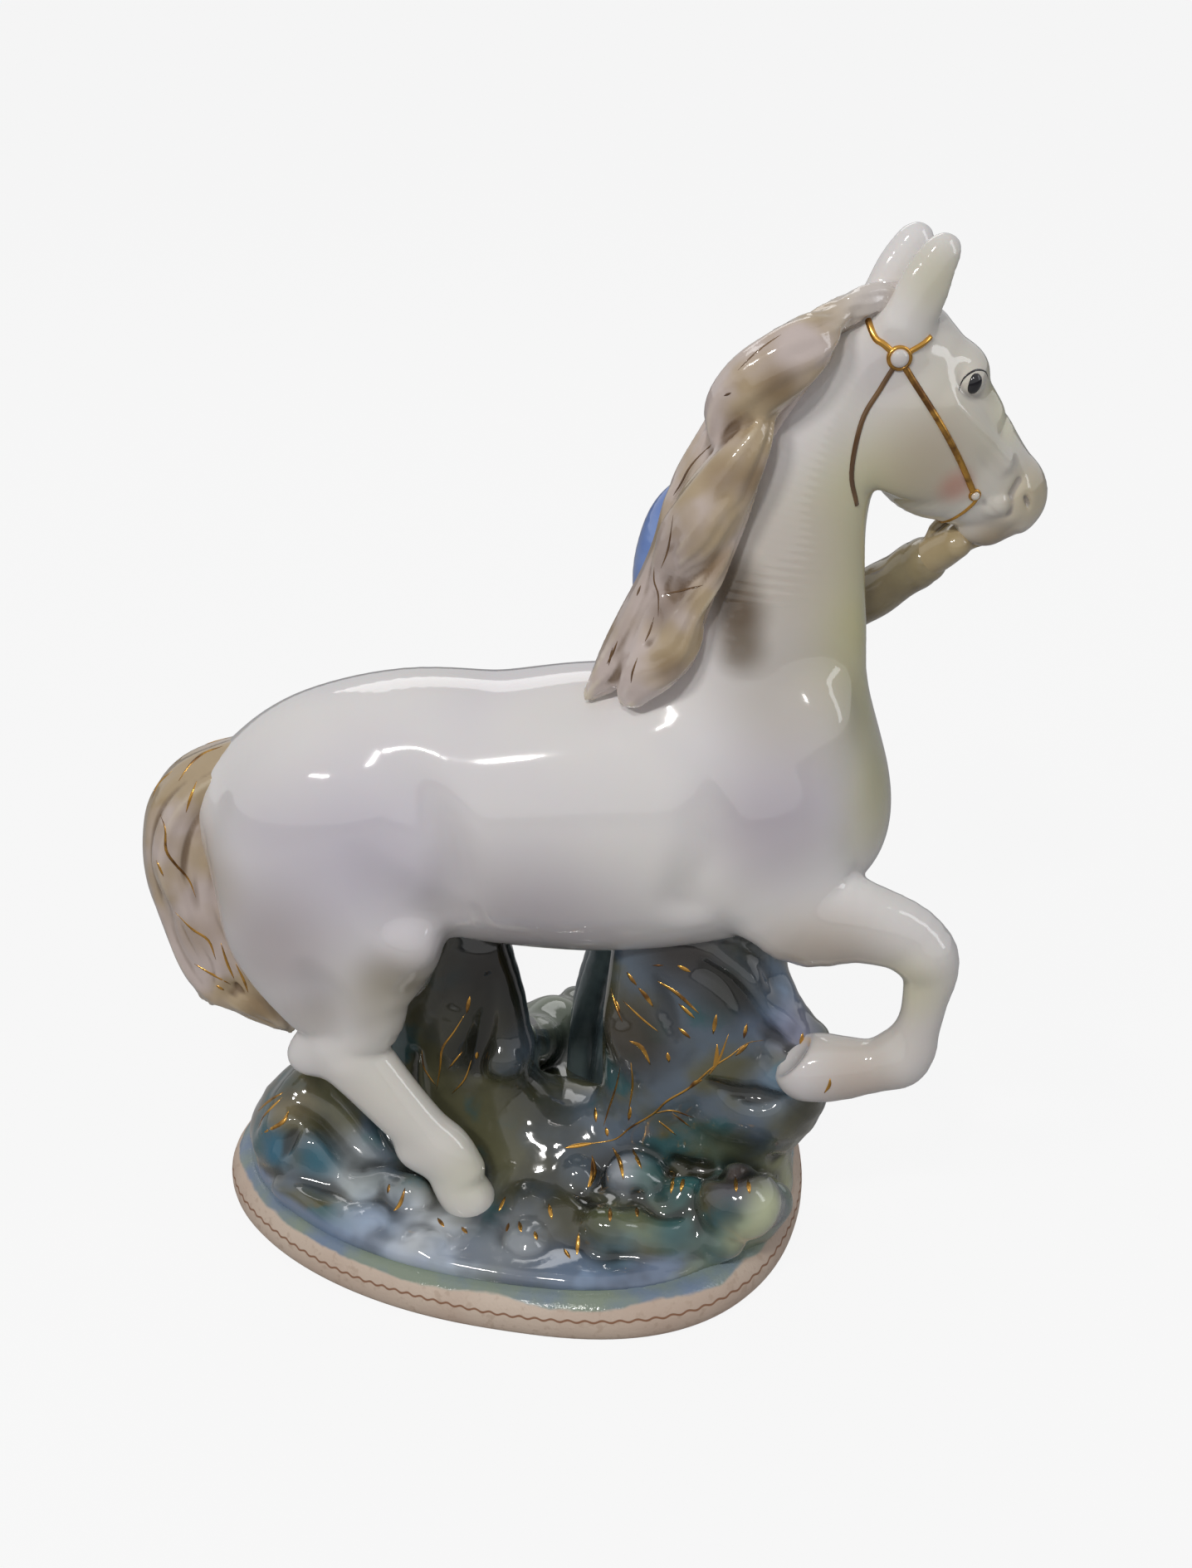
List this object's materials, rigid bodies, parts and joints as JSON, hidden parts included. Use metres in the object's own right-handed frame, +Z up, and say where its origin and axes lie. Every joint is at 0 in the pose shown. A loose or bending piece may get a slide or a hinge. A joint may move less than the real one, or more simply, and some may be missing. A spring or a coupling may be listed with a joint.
{
  "type": "porcelain figurine of a woman with a horse",
  "caption": "Glazed porcelain horse on a rocky oval plinth, held at the halter by a woman in a long dress.",
  "frame": {"origin": "bottom centre of the figurine's bounding box, on the surface it stands on", "axes": "+Z up, +X the way the horse walks, +Y away from the viewer towards the woman's side"},
  "size_m": [0.2481, 0.1672, 0.2943],
  "materials": {
    "biscuit": "matt unglazed rim",
    "ground_glaze": "glossy mottled blue, teal and olive",
    "rock_glaze": "glossy dark blue-grey",
    "horse_glaze": "glossy cream white",
    "hair_glaze": "glossy beige with darker strokes",
    "gilding": "fired gold lustre",
    "black": "glossy black",
    "skirt_glaze": "glossy olive blue",
    "bodice_glaze": "glossy light blue",
    "sleeve_glaze": "glossy cream olive",
    "skin_glaze": "glossy pale skin",
    "brown_glaze": "glossy brown"
  },
  "bodies": {
    "root": {"plinth": "biscuit", "ground": "ground_glaze", "front_rock": "rock_glaze", "rear_stump": "rock_glaze", "horse_torso": "horse_glaze", "near_hind_leg": "horse_glaze", "far_hind_leg": "horse_glaze", "near_foreleg": "horse_glaze", "far_foreleg": "horse_glaze", "horse_neck": "horse_glaze", "horse_head": "horse_glaze", "near_ear": "horse_glaze", "far_ear": "horse_glaze", "near_cheek_rosette": "horse_glaze", "far_cheek_rosette": "horse_glaze", "near_lip_rosette": "horse_glaze", "far_lip_rosette": "horse_glaze", "mane": "hair_glaze", "tail": "hair_glaze", "forelock": "hair_glaze", "near_eye": "black", "far_eye": "black", "near_cheek_strap": "gilding", "far_cheek_strap": "gilding", "near_throat_latch": "gilding", "far_throat_latch": "gilding", "crown_strap": "gilding", "brow_band": "gilding", "chin_strap": "gilding", "skirt": "skirt_glaze", "bodice": "bodice_glaze", "right_sleeve": "sleeve_glaze", "left_sleeve": "sleeve_glaze", "right_hand": "skin_glaze", "left_hand": "skin_glaze", "woman_head": "skin_glaze", "hair": "brown_glaze", "near_shoe": "brown_glaze", "far_shoe": "brown_glaze"}
  },
  "joints": []
}
